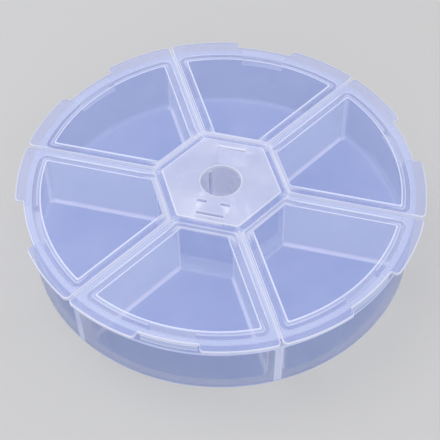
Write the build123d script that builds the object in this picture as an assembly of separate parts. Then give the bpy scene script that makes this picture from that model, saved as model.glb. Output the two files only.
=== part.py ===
from build123d import *
import math
import os

# Round bead storage box with six wedge compartments, in millimetres and degrees.
# It comes apart on a bench into two mouldings: the tray, and the lid moulding, whose hub plate
# snaps into the tray's core and carries six flip lids on living hinges.
# The origin is the middle of the underside, and +Z is up. Lid 1 points along +X, lid 2 lies 60
# degrees on, and so round. The gaps between the lids stand over the dividers of the tray.

# The whole box
compartments = 6
tray_height = 19.0
tray_radius = 50.0
draft_angle = 1.0

# Outer wall of the tray
foot_radius = 49.4
foot_chamfer = 0.6
ring_height = 15.4
ring_step = 0.35
pad_height = 2.2
pad_half_angle = 8.0
rim_chamfer = 0.2

# Compartments
inner_radius = 48.3
floor_thickness = 1.2
divider_thickness = 2.2
outer_corner = 2.0
inner_corner = 1.4
floor_chamfer = 0.9

# Core of the tray, a six-sided well
core_across = 26.6
core_wall = 1.8
core_floor_height = 2.4
core_floor_thickness = 1.2
boss_height = 2.8
boss_wall = 1.3

# Lids
lid_thickness = 1.0
lid_radius = 50.2
lid_gap = 0.5
tab_reach = 2.0
tab_corner = 1.2
notch_half_angle = 8.6
side_border = 2.8
rim_border = 4.0
hinge_border = 0.7
recess_depth = 0.25
recess_corner = 0.5

# Seal rib and latch under each lid
rib_depth = 1.0
rib_thickness = 1.0
rib_clearance = 0.2
tongue_depth = 2.3
tongue_half_angle = 7.0
tongue_thickness = 1.6
tongue_clearance = 0.3
bead_reach = 0.5
bead_half_angle = 6.0
bead_height = 1.2
bead_above_tip = 0.9
bead_clearance = 0.12
groove_half_angle = 8.0

# Living hinges between the hub plate and the lids
hinge_distance = 14.7
groove_width = 2.0
web_width = 0.8
web_thickness = 0.4

# Hub plate and its snap tube
hub_corner = 1.0
hole_radius = 5.2
hole_chamfer = 0.3
tube_wall = 1.2
tube_clearance = 0.15
tube_foot_height = 0.8
slot_width = 1.2
slot_count = 4
slot_turn = 15.0
slot_top_bridge = 0.8
barb_reach = 0.55
barb_clearance = 0.15

# Locating plates that hang from the hub plate against two flats of the core
plate_turns = (60.0, 240.0)
plate_width = 7.6
plate_thickness = 1.2
plate_depth = 6.0
plate_clearance = 0.2
window_width = 0.8
window_length = 7.2
small_slot_turn = 240.0
small_slot_distance = 7.6
small_slot_spacing = 6.0
small_slot_length = 2.6
small_slot_width = 0.9

# Worked out from the sizes above
sector = 360 / compartments
half_sector = sector / 2
lid_top = tray_height + lid_thickness
core_outer = core_across / 2 + core_wall
core_floor_top = core_floor_height + core_floor_thickness
rim_radius = tray_radius - ring_step
pocket_depth = tray_height - floor_thickness
pocket_draft = pocket_depth * math.tan(math.radians(draft_angle))
tab_radius = lid_radius + tab_reach
lid_inner = hinge_distance + web_width / 2
hub_reach = hinge_distance - web_width / 2
flank_run = (groove_width - web_width) / 2
flank_height = lid_thickness - web_thickness
rib_side = divider_thickness / 2 + rib_clearance
rib_outer = inner_radius - rib_clearance
rib_inner_edge = core_outer + rib_clearance
tongue_outer = inner_radius - tongue_clearance
tongue_bottom = tray_height - tongue_depth
bead_middle = tongue_bottom + bead_above_tip
tube_outer = hole_radius + tube_wall
boss_inner = tube_outer + tube_clearance
overlap = 0.5
far_out = 2 * tab_radius


def lid_turn(number):
    """Angle of a lid or compartment, counted from 1, round the middle of the box."""
    return (number - 1) * sector


def corner_of_wedge(inner, side):
    """Half width of a wedge at its straight inner edge, with its sides set in from the gap planes."""
    slope = math.radians(half_sector)
    return inner * math.tan(slope) - side / math.cos(slope)


def far_corner_of_wedge(side, outer):
    """Point where the set-in side of a wedge meets its outer arc."""
    slope = math.radians(half_sector)
    along = math.sqrt(outer**2 - side**2)
    x = along * math.cos(slope) + side * math.sin(slope)
    y = along * math.sin(slope) - side * math.cos(slope)
    return x, y


def wedge(inner, side, outer, inner_fillet=0.0, outer_fillet=0.0):
    """Face of a wedge about +X: straight inner edge, two sides set in from the gaps, outer arc."""
    near_y = corner_of_wedge(inner, side)
    far_x, far_y = far_corner_of_wedge(side, outer)
    edges = [
        Line((inner, -near_y), (far_x, -far_y)),
        ThreePointArc((far_x, -far_y), (outer, 0), (far_x, far_y)),
        Line((far_x, far_y), (inner, near_y)),
        Line((inner, near_y), (inner, -near_y)),
    ]
    face = make_face(edges)
    ordered = face.vertices().sort_by(Axis.X)
    if outer_fillet:
        face = fillet(ordered[2:], outer_fillet)
        ordered = face.vertices().sort_by(Axis.X)
    if inner_fillet:
        face = fillet(ordered[:2], inner_fillet)
    return face


def flat_sided(distance, corner=0.0):
    """Face with one side towards each lid, at a distance from the middle."""
    corner_radius = distance / math.cos(math.radians(half_sector))
    face = RegularPolygon(corner_radius, compartments, rotation=half_sector)
    if corner:
        face = fillet(face.vertices(), corner)
    return face


def ring_piece(points, half_angle):
    """Solid of an outline of (radius, height) points carried round the middle, about +X."""
    outline = Plane.XZ * make_face(Polyline(*points, close=True))
    solid = revolve(outline, axis=Axis.Z, revolution_arc=2 * half_angle)
    return Rot(0, 0, -half_angle) * solid


def whole_ring(points):
    """Solid of an outline of (radius, height) points carried all the way round the middle."""
    outline = Plane.XZ * make_face(Polyline(*points, close=True))
    return revolve(outline, axis=Axis.Z)


def at_height(height, shape):
    return Pos(0, 0, height) * shape


def round_copies(shape):
    """A copy of a shape for each compartment."""
    return [Rot(0, 0, lid_turn(number)) * shape for number in range(1, compartments + 1)]


def tray_body():
    """Outer form of the tray: drafted wall, step in to the rim band, and sloped foot edge."""
    body = whole_ring(
        [
            (0, 0),
            (foot_radius, 0),
            (tray_radius, ring_height),
            (rim_radius, ring_height + ring_step),
            (rim_radius, tray_height),
            (0, tray_height),
        ]
    )
    foot_edge = body.edges().sort_by(Axis.Z)[0]
    body = chamfer(foot_edge, foot_chamfer)
    rim_edge = body.edges().sort_by(Axis.Z)[-1]
    body = chamfer(rim_edge, rim_chamfer)
    pad = ring_piece(
        [
            (rim_radius - overlap, tray_height - pad_height),
            (tray_radius, tray_height - pad_height),
            (tray_radius, tray_height - rim_chamfer),
            (rim_radius - overlap, tray_height - rim_chamfer),
        ],
        pad_half_angle,
    )
    return body + round_copies(pad)


def pocket():
    """Space of one compartment, wider at the top by the draft, with a sloped edge round its floor."""
    floor_side = divider_thickness / 2 + pocket_draft
    floor_face = wedge(
        core_outer + pocket_draft,
        floor_side,
        inner_radius - pocket_draft,
        inner_corner,
        outer_corner,
    )
    space = extrude(at_height(floor_thickness, floor_face), pocket_depth, taper=-draft_angle)
    floor_edges = space.faces().sort_by(Axis.Z)[0].edges()
    return chamfer(floor_edges, floor_chamfer)


def bead_outline(reach, grow):
    """Points of the latch bead, or with growth those of the groove that it snaps into."""
    half = bead_height / 2 + grow
    return [
        (tongue_outer - overlap, bead_middle - half),
        (tongue_outer, bead_middle - half),
        (tongue_outer + reach, bead_middle),
        (tongue_outer, bead_middle + half),
        (tongue_outer - overlap, bead_middle + half),
    ]


def make_tray():
    """The tray: six pockets and the core well cut out of the body, with the snap floor inside."""
    tray = tray_body()
    tray -= round_copies(pocket())
    groove = ring_piece(
        bead_outline(bead_reach + bead_clearance, 2 * bead_clearance),
        groove_half_angle,
    )
    tray -= round_copies(groove)
    well_face = flat_sided(core_across / 2)
    tray -= at_height(core_floor_top, extrude(well_face, tray_height))
    tray -= extrude(well_face, core_floor_height)
    boss = whole_ring(
        [
            (boss_inner, core_floor_height),
            (boss_inner + boss_wall, core_floor_height),
            (boss_inner + boss_wall, core_floor_top + boss_height),
            (boss_inner, core_floor_top + boss_height),
        ]
    )
    tray += boss
    tray -= Cylinder(boss_inner, 2 * tray_height)
    return tray


def lid_face():
    """Outline of a lid: a wedge with two finger tabs and the notch between them."""
    side = lid_gap / 2
    plain = wedge(lid_inner, side, lid_radius)
    reach = wedge(lid_inner, side, tab_radius)
    notch_width = far_out * math.tan(math.radians(notch_half_angle))
    notch = make_face(
        Polyline((0, 0), (far_out, -notch_width), (far_out, notch_width), close=True)
    )
    face = plain + (reach - notch)
    tab_tips = [v for v in face.vertices() if v.center().length > tab_radius - overlap]
    return fillet(tab_tips, tab_corner)


def make_lid():
    """One lid at rest about +X: plate with tabs, panel thinned from below, rib and latch tongue."""
    plate = at_height(tray_height, extrude(lid_face(), lid_thickness))
    flank = Plane.XZ * make_face(
        Polyline(
            (lid_inner - overlap, tray_height + web_thickness),
            (lid_inner, tray_height + web_thickness),
            (lid_inner + flank_run, lid_top),
            (lid_inner + flank_run, lid_top + overlap),
            (lid_inner - overlap, lid_top + overlap),
            close=True,
        )
    )
    plate -= extrude(flank, tab_radius, both=True)
    recess_face = wedge(
        lid_inner + flank_run + hinge_border,
        lid_gap / 2 + side_border,
        lid_radius - rim_border,
        outer_fillet=recess_corner,
    )
    plate -= at_height(tray_height, extrude(recess_face, recess_depth))
    rib_face = wedge(rib_inner_edge, rib_side, rib_outer, inner_corner, outer_corner)
    hollow_face = wedge(
        rib_inner_edge + rib_thickness,
        rib_side + rib_thickness,
        rib_outer - rib_thickness,
    )
    rib = extrude(rib_face - hollow_face, -rib_depth)
    tongue = ring_piece(
        [
            (tongue_outer - tongue_thickness, tongue_bottom),
            (tongue_outer, tongue_bottom),
            (tongue_outer, tray_height),
            (tongue_outer - tongue_thickness, tray_height),
        ],
        tongue_half_angle,
    )
    bead = ring_piece(bead_outline(bead_reach, 0), bead_half_angle)
    return plate + at_height(tray_height, rib) + tongue + bead


def make_web():
    """Thin living hinge about +X, from the hub plate's edge to the lid's."""
    near_y = corner_of_wedge(hub_reach, lid_gap / 2)
    far_y = corner_of_wedge(lid_inner, lid_gap / 2)
    face = make_face(
        Polyline(
            (hub_reach, -near_y),
            (lid_inner, -far_y),
            (lid_inner, far_y),
            (hub_reach, near_y),
            close=True,
        )
    )
    return at_height(tray_height, extrude(face, web_thickness))


def snap_tube():
    """Split tube under the hub plate, with a barb round its foot that catches under the core floor."""
    barb_top = core_floor_height - barb_clearance
    tube = whole_ring(
        [
            (hole_radius, tube_foot_height),
            (tube_outer, tube_foot_height),
            (tube_outer + barb_reach, barb_top - barb_reach / 2),
            (tube_outer + barb_reach, barb_top),
            (tube_outer, barb_top),
            (tube_outer, tray_height + lid_thickness / 2),
            (hole_radius, tray_height + lid_thickness / 2),
        ]
    )
    slot_height = tray_height - slot_top_bridge
    slot = at_height(slot_height / 2, Box(far_out, slot_width, slot_height))
    for number in range(slot_count // 2):
        tube -= Rot(0, 0, slot_turn + number * 360 / slot_count) * slot
    return tube


def make_hub_plate():
    """Six-sided plate with the centre hole, snap tube, locating plates and their windows."""
    plate = at_height(tray_height, extrude(flat_sided(hub_reach, hub_corner), lid_thickness))
    top_edges = plate.faces().sort_by(Axis.Z)[-1].edges()
    plate = chamfer(top_edges, flank_height, flank_run)
    plate -= at_height(tray_height, Cylinder(hole_radius, 4 * lid_thickness))
    rim = plate.faces().sort_by(Axis.Z)[-1].inner_wires()[0].edges()
    plate = chamfer(rim, hole_chamfer)
    plate += snap_tube()
    plate_outer = core_across / 2 - plate_clearance
    plate_middle = plate_outer - plate_thickness / 2
    window_middle = plate_outer - plate_thickness - window_width / 2
    for turn in plate_turns:
        hanging = Pos(plate_middle, 0, tray_height - plate_depth / 2) * Box(
            plate_thickness, plate_width, plate_depth
        )
        window = Pos(window_middle, 0, tray_height) * Box(
            window_width, window_length, 4 * lid_thickness
        )
        plate += Rot(0, 0, turn) * hanging
        plate -= Rot(0, 0, turn) * window
    for side in (-1, 1):
        small_slot = Pos(small_slot_distance, side * small_slot_spacing / 2, tray_height) * Box(
            small_slot_width, small_slot_length, 4 * lid_thickness
        )
        plate -= Rot(0, 0, small_slot_turn) * small_slot
    return plate


os.makedirs("parts", exist_ok=True)
lid = make_lid()
web = make_web()
export_step(make_tray(), "parts/tray.step")
export_step(make_hub_plate(), "parts/hub_plate.step")
for number in range(1, compartments + 1):
    turned = Rot(0, 0, lid_turn(number))
    export_step(turned * lid, f"parts/lid_{number}.step")
    export_step(turned * web, f"parts/hinge_web_{number}.step")
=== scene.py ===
import bmesh
import bpy
import math
import numpy as np
from mathutils import Matrix, Vector
from mathutils.geometry import delaunay_2d_cdt


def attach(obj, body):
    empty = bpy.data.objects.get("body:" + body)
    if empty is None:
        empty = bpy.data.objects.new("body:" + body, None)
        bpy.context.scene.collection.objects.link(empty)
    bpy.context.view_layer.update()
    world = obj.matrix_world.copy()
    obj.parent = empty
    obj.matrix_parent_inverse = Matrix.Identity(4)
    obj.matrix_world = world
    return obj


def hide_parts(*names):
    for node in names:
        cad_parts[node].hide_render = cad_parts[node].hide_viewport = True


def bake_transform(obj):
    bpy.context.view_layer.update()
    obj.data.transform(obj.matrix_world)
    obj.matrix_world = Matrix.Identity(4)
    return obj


# Round bead storage box in milky plastic: a tray with six wedge compartments, a six-sided hub
# plate with a snap tube, and six flip lids on living hinges. Sizes are in millimetres and angles
# in degrees, and points become metres where they go into a mesh. Lid 1 points along +X.

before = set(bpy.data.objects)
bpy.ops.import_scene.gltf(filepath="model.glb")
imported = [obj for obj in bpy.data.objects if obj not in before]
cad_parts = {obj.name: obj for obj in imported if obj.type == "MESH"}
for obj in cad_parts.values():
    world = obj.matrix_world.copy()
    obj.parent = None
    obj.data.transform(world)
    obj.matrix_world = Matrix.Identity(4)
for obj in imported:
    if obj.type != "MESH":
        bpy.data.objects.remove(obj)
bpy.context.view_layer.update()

MM = 0.001

# The whole box
LIDS = 6
SECTOR = 360 / LIDS
HALF_SECTOR = SECTOR / 2
SLOPE = math.radians(HALF_SECTOR)
TRAY_TOP = 19.0
LID_UNDER = 19.02
LID_TOP = 20.0
DRAFT = math.tan(math.radians(1.0))

# Outer wall of the tray. The ring step has a hollow corner at its head and a broken one at its
# edge, each given by how far its row stands away from the sharp corner, sideways and upwards.
FOOT_RADIUS = 49.4
WALL_RADIUS = 50.0
FOOT_ROUND = 0.8
FOOT_MARGIN = 0.6
UNDERSIDE_INSET = 12.0
WALL_HEIGHTS = (12.0, 8.0, 4.0, 2.2, 1.3)
RING_HEIGHT = 15.4
RING_STEP = 0.35
RING_HOLLOW = (0.04, 0.02)
RING_BREAK = (0.06, 0.07)
RING_UNDER = 0.08
RING_MARGIN = 0.15
RIM_RADIUS = WALL_RADIUS - RING_STEP
RIM_ROUND = 0.2
PAD_HEIGHT = 2.2
PAD_ROUND = 0.12
PAD_HALF_ANGLE = 8.0

# Compartments
POCKET_REACH = 48.3
FLOOR_TOP = 1.2
DIVIDER_HALF = 1.1
FAR_CORNER = 2.0
NEAR_CORNER = 1.4
FLOOR_ROUND = 1.1
TOP_ROUND = 0.15
TOP_BAND = 0.6
TOP_MARGIN = 0.3
GROOVE_MIDDLE = 17.6
GROOVE_HALF = 0.47
GROOVE_REACH = 48.62

# Core of the tray
CORE_HALF = 13.3
CORE_WALL = 1.8
CORE_CORNER = 0.8
CORE_FOOT_ROUND = 0.2
CORE_SPREAD = 3.0
CORE_UNDER = 2.4
CORE_FLOOR_TOP = 3.6
BOSS_TOP = 6.4
BOSS_INNER = 6.55
BOSS_OUTER = 7.85
BOSS_ROUND = 0.15
BOSS_SPREAD = 2.0
WELL_MARGIN = 1.0

# Lids
LID_INNER = 15.1
LID_RADIUS = 50.2
LID_SIDE = 0.25
LID_ROUND = 0.22
UNDER_ROUND = 0.12
UNDER_MARGIN = 0.25
TAB_RADIUS = 52.2
TAB_CORNER = 1.2
NEAR_LID_CORNER = 0.35
NOTCH_HALF_ANGLE = 8.6
NOTCH_CORNER = 0.4
FLANK_RUN = 0.6
FLANK_FOOT = 19.4
RECESS_SIDE = 3.05
RECESS_NEAR = 16.5
RECESS_REACH = 46.2
RECESS_TOP = 19.25
RECESS_CORNER = 0.5
RECESS_LEAN = 0.03
RECESS_FILLET = 0.12
LINE_WIDTH = 0.3
PANEL_START = 0.42

# Seal rib and latch tongue under each lid
RIB_SIDE = 1.3
RIB_NEAR = 15.3
RIB_REACH = 48.1
RIB_WALL = 1.0
RIB_BOTTOM = 18.0
RIB_ROUND = 0.1
RIB_ROOT = 0.15
RIB_INNER_ROOT = 0.08
RIB_MIDDLE = 18.4
RIB_HEAD = 18.6
RIB_INNER_HEAD = 18.7
RIB_CORNER_LEAST = 0.3
TONGUE_REACH = 48.0
TONGUE_WALL = 1.6
TONGUE_BOTTOM = 16.7
TONGUE_TIP_MARGIN = 0.7
TONGUE_HALF_ANGLE = 7.0
BEAD_REACH = 48.5
BEAD_MIDDLE = 17.6
BEAD_HALF = 0.6
BEAD_HALF_ANGLE = 6.0
TIP_ROUND = 0.25

# Hub plate, its snap tube and its locating plates
HUB_HALF = 14.3
HUB_TOP_HALF = 13.7
HUB_CORNER = 1.0
HUB_ROUND = 0.15
HUB_ROUND_SQUASH = 0.6
HUB_MARGIN = 0.45
HUB_SLOPE = 0.4
HOLE_RADIUS = 5.2
HOLE_ROUND = 0.2
TUBE_OUTER = 6.4
TUBE_FOOT = 0.8
TUBE_FOOT_ROUND = 0.15
TUBE_BAND = 0.8
BARB_OUTER = 6.95
BARB_TOP = 2.25
BARB_FOOT = 1.975
SLOT_HALF = 0.6
SLOT_TOP = 18.2
SLOT_MARGIN = 0.4
SLOT_TURN = 15.0
SLOTS = 4
SLOT_POINTS = 3
FINGER_POINTS = 15
PLATE_TURNS = (60.0, 240.0)
PLATE_INNER = 11.9
PLATE_OUTER = 13.1
PLATE_HALF_WIDTH = 3.8
PLATE_BOTTOM = 13.0
PLATE_CORNER = 0.3
PLATE_TIP = 0.3
PLATE_TIP_SHARE = 0.85
WINDOW_INNER = 11.1
WINDOW_HALF_LENGTH = 3.6
OPENING_CORNER = 0.12
QUARTER_POINTS = 4
OPENING_ROUND = 0.08
OPENING_MARGIN = 0.3
SMALL_SLOT_TURN = 240.0
SMALL_SLOT_DISTANCE = 7.6
SMALL_SLOT_SIDE = 3.0
SMALL_SLOT_HALF_LENGTH = 1.3
SMALL_SLOT_HALF_WIDTH = 0.45

# Living hinges
HINGE_RADIUS = 14.7
WEB_HALF = 0.4
WEB_DIP = 0.06

# Small offsets that several pieces share. Each is a round, or the margin from an edge to the row
# that keeps the shading of the face beside it even.
HAIR = 0.05
FINE = 0.1
FILLET = 0.3
MARGIN = 0.5

# Points that lie closer than the first are merged, and slivers thinner than the second dissolved.
# Edges that turn by more than the sharp angle, in degrees, stay sharp.
MERGED = 0.004
SLIVER = 0.001
SHARP_ANGLE = 32.0

# How milky the plastic is from place to place, and where light and shade are painted on it.
# Below 0 it lies in painted deep shade, a thin panel has 0, a flange a half and an edge 1, which is a
# painted highlight as well as more opaque, and from GLOW_START on it glows: painted bright corners, lines
# and glints.
DEEP = -1.0
PANEL = 0.0
FLOOR = 0.1
CORE_TOP = 0.2
# STRIP, on the hub's flank and the hinge strips, is darker: painted shade of the groove round the hub.
STRIP = 0.2
WALL = 0.3
CORE_SIDE = 0.35
BORDER = 0.48
FLANGE = 0.5
PATCH = 0.65
DIVIDER_END = 0.65
SIDE = 0.75
HUB = 0.76
RIM = 0.82
TUBE = 0.82
TONGUE = 0.85
DIVIDER = 0.95
EDGE = 1.0
GLOW_START = 1.1
CORNER = 1.3
LINE = 1.5
GLOW = 2.0

# Finish: stages of colour from the painted deep shade over the thin and wall plastic to the painted edge
# highlight and glow, as they look on a screen from 0 to 255, and how much the thin, wall and edge stages
# hide what lies behind them
STAGES = ("Deep", "Thin", "Wall", "Edge", "Glow")
TRAY_COLOURS = ((108, 126, 176), (146, 163, 224), (204, 215, 250), (224, 232, 255), (255, 222, 238))
TRAY_ALPHAS = (0.48, 0.55, 0.85)
TRAY_ROUGHNESS = 0.32
LID_COLOURS = ((136, 154, 226), (150, 167, 230), (197, 204, 246), (234, 238, 255), (234, 238, 255))
LID_ALPHAS = (0.28, 0.4, 0.85)
LID_ROUGHNESS = 0.28
GLOW_STRENGTH = 0.5
REFRACTION = 1.49
CLOUD_SCALE = 70.0
RIPPLE_SCALE = 130.0
GRAIN_SCALE = 2600.0
GRAIN_SHARE = 0.25
BUMP_STRENGTH = 0.12
BUMP_DEPTH = 0.2

# Share of the light on milky plastic that it scatters onward and doesn't hold back
PASSED_ON = 0.85

# Studio
GROUND_RADIUS = 1500.0
GROUND_HEIGHT = -0.02
GROUND_GREY = (0.62, 0.62, 0.63, 1.0)
GROUND_ROUGHNESS = 0.7
WORLD_LEVEL = 0.55
CAMERA_PLACE = (-54.42, -199.09, 253.3)
CAMERA_TARGET = (-3.77, -12.48, 20.0)
CAMERA_ROLL = -0.8
CAMERA_LENS = 100.0


def turned(points, degrees):
    """The points turned round the Z axis: x and y through the rotation matrix, z as it was."""
    angle = math.radians(degrees)
    out = np.array(points, float)
    out[:, 0] = points[:, 0] * math.cos(angle) - points[:, 1] * math.sin(angle)
    out[:, 1] = points[:, 0] * math.sin(angle) + points[:, 1] * math.cos(angle)
    return out


def polar(radius, degrees):
    """Points at a radius and an angle: radius times cosine, radius times sine."""
    angle = np.radians(degrees)
    return np.stack([radius * np.cos(angle), radius * np.sin(angle)], 1)


def at_height(flat, height):
    """Flat points lifted to a height, or each to its own height."""
    column = np.broadcast_to(np.asarray(height, float), (len(flat),))
    return np.column_stack([flat, column])


def mirrored_loop(half):
    """Closed loop from its upper half: the half, then its inner points again, backwards, y reversed."""
    back = half[-2:0:-1] * np.array([1.0, -1.0])
    return np.vstack([half, back])


def mirrored_values(half):
    """Values along a mirrored loop, from those along its upper half."""
    return np.concatenate([half, half[-2:0:-1]])


class Shell:
    """Rows of points and the faces between them, which become one mesh."""

    def __init__(self):
        self.points = []
        self.milk_and_painted_light = []
        self.faces = []
        self.count = 0

    def add(self, points, milk_and_painted_light):
        """Adds points with their level of milkiness and painted light, and gives their numbers."""
        self.points.append(np.asarray(points, float))
        self.milk_and_painted_light.append(np.broadcast_to(np.asarray(milk_and_painted_light, float), (len(points),)))
        numbers = np.arange(self.count, self.count + len(points))
        self.count += len(points)
        return numbers

    def band(self, first, second, closed=True):
        """Four-sided faces between two rows with the same number of points."""
        if closed:
            after_first, after_second = np.roll(first, -1), np.roll(second, -1)
            quads = np.stack([first, after_first, after_second, second], 1)
        else:
            quads = np.stack([first[:-1], first[1:], second[1:], second[:-1]], 1)
        self.faces.extend(quads.tolist())

    def fan(self, row, point, milk_and_painted_light):
        """Three-sided faces from a closed row to one point."""
        middle = self.add([point], milk_and_painted_light)[0]
        triangles = np.stack([row, np.roll(row, -1), np.full(len(row), middle)], 1)
        self.faces.extend(triangles.tolist())

    def loft(self, rows):
        """Adds rows of (points, milk) and the bands between them, and gives the rows' numbers."""
        numbers = [self.add(points, milk_and_painted_light) for points, milk_and_painted_light in rows]
        for first, second in zip(numbers, numbers[1:]):
            self.band(first, second)
        return numbers

    def sheet(self, outlines, height, milk_and_painted_light):
        """Flat face at a height inside the first outline and outside the others."""
        flat = np.vstack(outlines)
        edges = []
        start = 0
        for outline in outlines:
            index = np.arange(start, start + len(outline))
            edges.extend(np.stack([index, np.roll(index, -1)], 1).tolist())
            start += len(outline)
        triangles_inside, tolerance = 1, 1e-6
        found = delaunay_2d_cdt([Vector(p) for p in flat], edges, [], triangles_inside, tolerance)
        corners = np.array([tuple(p) for p in found[0]])
        triangles = np.array(found[2])
        centres = corners[triangles].mean(1)
        keep = np.full(len(triangles), True)
        for hole in outlines[1:]:
            keep &= ~inside(centres, hole)
        base = self.add(at_height(corners, height), milk_and_painted_light)[0]
        self.faces.extend((triangles[keep] + base).tolist())

    def make(self, name, material):
        """One object at the origin: doubles merged, faces outwards, smooth with sharp corners."""
        mesh = bpy.data.meshes.new(name)
        mesh.from_pydata((np.vstack(self.points) * MM).tolist(), [], self.faces)
        mesh.attributes.new("milk_and_painted_light", "FLOAT", "POINT")
        mesh.attributes["milk_and_painted_light"].data.foreach_set("value", np.concatenate(self.milk_and_painted_light).astype(np.float32))
        work = bmesh.new()
        work.from_mesh(mesh)
        bmesh.ops.remove_doubles(work, verts=work.verts, dist=MERGED * MM)
        bmesh.ops.dissolve_degenerate(work, edges=work.edges, dist=SLIVER * MM)
        bmesh.ops.recalc_face_normals(work, faces=work.faces)
        work.to_mesh(mesh)
        work.free()
        mesh.shade_smooth()
        mesh.set_sharp_from_angle(angle=math.radians(SHARP_ANGLE))
        mesh.materials.append(material)
        piece = bpy.data.objects.new(name, mesh)
        bpy.context.scene.collection.objects.link(piece)
        weighted = piece.modifiers.new("even shading", "WEIGHTED_NORMAL")
        weighted.keep_sharp = True
        weighted.mode = "FACE_AREA"
        return piece


def inside(places, outline):
    """Which places lie inside a closed outline: a ray to the right crosses it an odd number of times."""
    x, y = places[:, :1], places[:, 1:]
    ax, ay = outline[:, 0], outline[:, 1]
    bx, by = np.roll(ax, -1), np.roll(ay, -1)
    spans = (ay > y) != (by > y)
    rise = np.where(by == ay, 1.0, by - ay)
    crossing = ax + (y - ay) * (bx - ax) / rise
    return (spans & (x < crossing)).sum(1) % 2 == 1


# Angles, from the middle line of a lid or compartment, at which every row has a point. Where a
# form starts or ends, two angles lie close together and make its end wall.
STEP = 0.05


def paired(*angles):
    """Each angle twice, a little before and a little after."""
    return [angle + sign * STEP for angle in angles for sign in (-1, 1)]


TRAY_ANGLES = np.array(sorted([0, 1.5, 3, 4.5, 6, 7] + paired(PAD_HALF_ANGLE) + list(range(9, 25))))
TRAY_CORNER_ANGLES = np.array([25, 26, 27, 28, 28.5, 29, 29.5, 30.0])
HALF_RING = np.concatenate([TRAY_ANGLES, TRAY_CORNER_ANGLES])
RING_ANGLES = np.concatenate([-HALF_RING[:0:-1], HALF_RING[:-1]])


def side_direction():
    """Direction along the gap between two lids, and the one square to it, into the wedge."""
    along = np.array([math.cos(SLOPE), math.sin(SLOPE)])
    inward = np.array([math.sin(SLOPE), -math.cos(SLOPE)])
    return along, inward


def corner_places(inner, side, outer, near_round, far_round):
    """How far out along the gap the side of a wedge starts and ends, between its two corner rounds."""
    far = math.sqrt((outer - far_round) ** 2 - (side + far_round) ** 2)
    near = (inner + near_round - (side + near_round) * math.sin(SLOPE)) / math.cos(SLOPE)
    return near, far


def wedge_loop(inner, side, outer, near_round, far_round, plan, reach=None):
    """Loop of a wedge, from its outer middle: arc, far corner round, side, near corner round, inner edge.

    Each corner round is an arc about the point that lies one radius in from both of its lines.
    The plan gives the angles of the arc and the number of points of the other stretches, and
    reach, where it is given, the radius at each of those angles.
    """
    along, inward = side_direction()
    near, far = corner_places(inner, side, outer, near_round, far_round)
    far_centre = far * along + (side + far_round) * inward
    near_centre = near * along + (side + near_round) * inward
    corner_start = math.degrees(math.atan2(far_centre[1], far_centre[0]))
    angles = plan["angles"]
    arc = polar(outer if reach is None else reach, angles)
    tail = polar(outer, np.linspace(angles[-1], corner_start, plan["tail"] + 1)[1:])
    square = 90 + HALF_SECTOR
    far_turn = np.linspace(corner_start, square, plan["far"] + 1)[1:]
    far_arc = far_centre + polar(far_round, far_turn)
    side_steps = np.linspace(far, near, plan["side"] + 2)[1:-1]
    side_line = side_steps[:, None] * along + side * inward
    near_turn = np.linspace(square, 180, plan["near"] + 1)
    near_arc = near_centre + polar(near_round, near_turn)
    edge_y = near_centre[1] * plan["edge"]
    edge = np.column_stack([np.full(len(edge_y), inner), edge_y])
    return mirrored_loop(np.vstack([arc, tail, far_arc, side_line, near_arc, edge]))


# Stretches of the rows of the tray. Eight points of each corner round meet the corner angles of
# the ring, and the rest meet the line over the middle of the divider.
TRAY_PLAN = {
    "angles": TRAY_ANGLES,
    "tail": 2,
    "far": 12,
    "side": 4,
    "near": 11,
    "edge": TRAY_ANGLES[::-1] / TRAY_CORNER_ANGLES[0],
}


def six_sided(half, corner, degrees):
    """Radius of a six-sided loop: half over cosine along each flat, and the corner rounds' far side."""
    turn = np.abs(np.asarray(degrees, float))
    flat = half / np.cos(np.radians(turn))
    middle = (half - corner) / math.cos(SLOPE)
    away = np.radians(HALF_SECTOR - turn)
    depth = np.maximum(corner**2 - (middle * np.sin(away)) ** 2, 0.0)
    round_reach = middle * np.cos(away) + np.sqrt(depth)
    starts = math.degrees(math.atan((half - corner) * math.tan(SLOPE) / half))
    return np.where(turn > starts, round_reach, flat)


def pocket_loop(height, grow=0.0, reach=None):
    """Wall of a compartment at a height: the loop at the top, drawn in by the draft, plus a growth."""
    draw = (TRAY_TOP - height) * DRAFT - grow
    floor_draw = (TRAY_TOP - FLOOR_TOP) * DRAFT
    corner = floor_draw - draw
    return wedge_loop(
        CORE_HALF + CORE_WALL + draw,
        DIVIDER_HALF + draw,
        POCKET_REACH - draw,
        NEAR_CORNER + corner,
        FAR_CORNER + corner,
        TRAY_PLAN,
        reach,
    )


def sector_loop():
    """Edge of one compartment's share of the tray's top: rim, line over the divider, core well."""
    near, far = corner_places(
        CORE_HALF + CORE_WALL,
        DIVIDER_HALF,
        POCKET_REACH,
        NEAR_CORNER + (TRAY_TOP - FLOOR_TOP) * DRAFT,
        FAR_CORNER + (TRAY_TOP - FLOOR_TOP) * DRAFT,
    )
    rim = RIM_RADIUS - RIM_ROUND
    outer = polar(rim, HALF_RING)
    on_corner = len(TRAY_CORNER_ANGLES)
    far_left = TRAY_PLAN["tail"] + TRAY_PLAN["far"] - on_corner
    near_left = TRAY_PLAN["near"] + 1 - on_corner
    well_corner = float(six_sided(CORE_HALF, CORE_CORNER, HALF_SECTOR))
    outward = np.concatenate(
        [
            np.linspace(rim, far, far_left + 1)[1:],
            np.linspace(far, near, TRAY_PLAN["side"] + 2)[1:-1],
            np.linspace(near, well_corner, near_left + 1)[:-1],
        ]
    )
    over_divider = outward[:, None] * side_direction()[0]
    inward = HALF_RING[::-1]
    well = polar(six_sided(CORE_HALF, CORE_CORNER, inward), inward)
    return mirrored_loop(np.vstack([outer, over_divider, well]))


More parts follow.
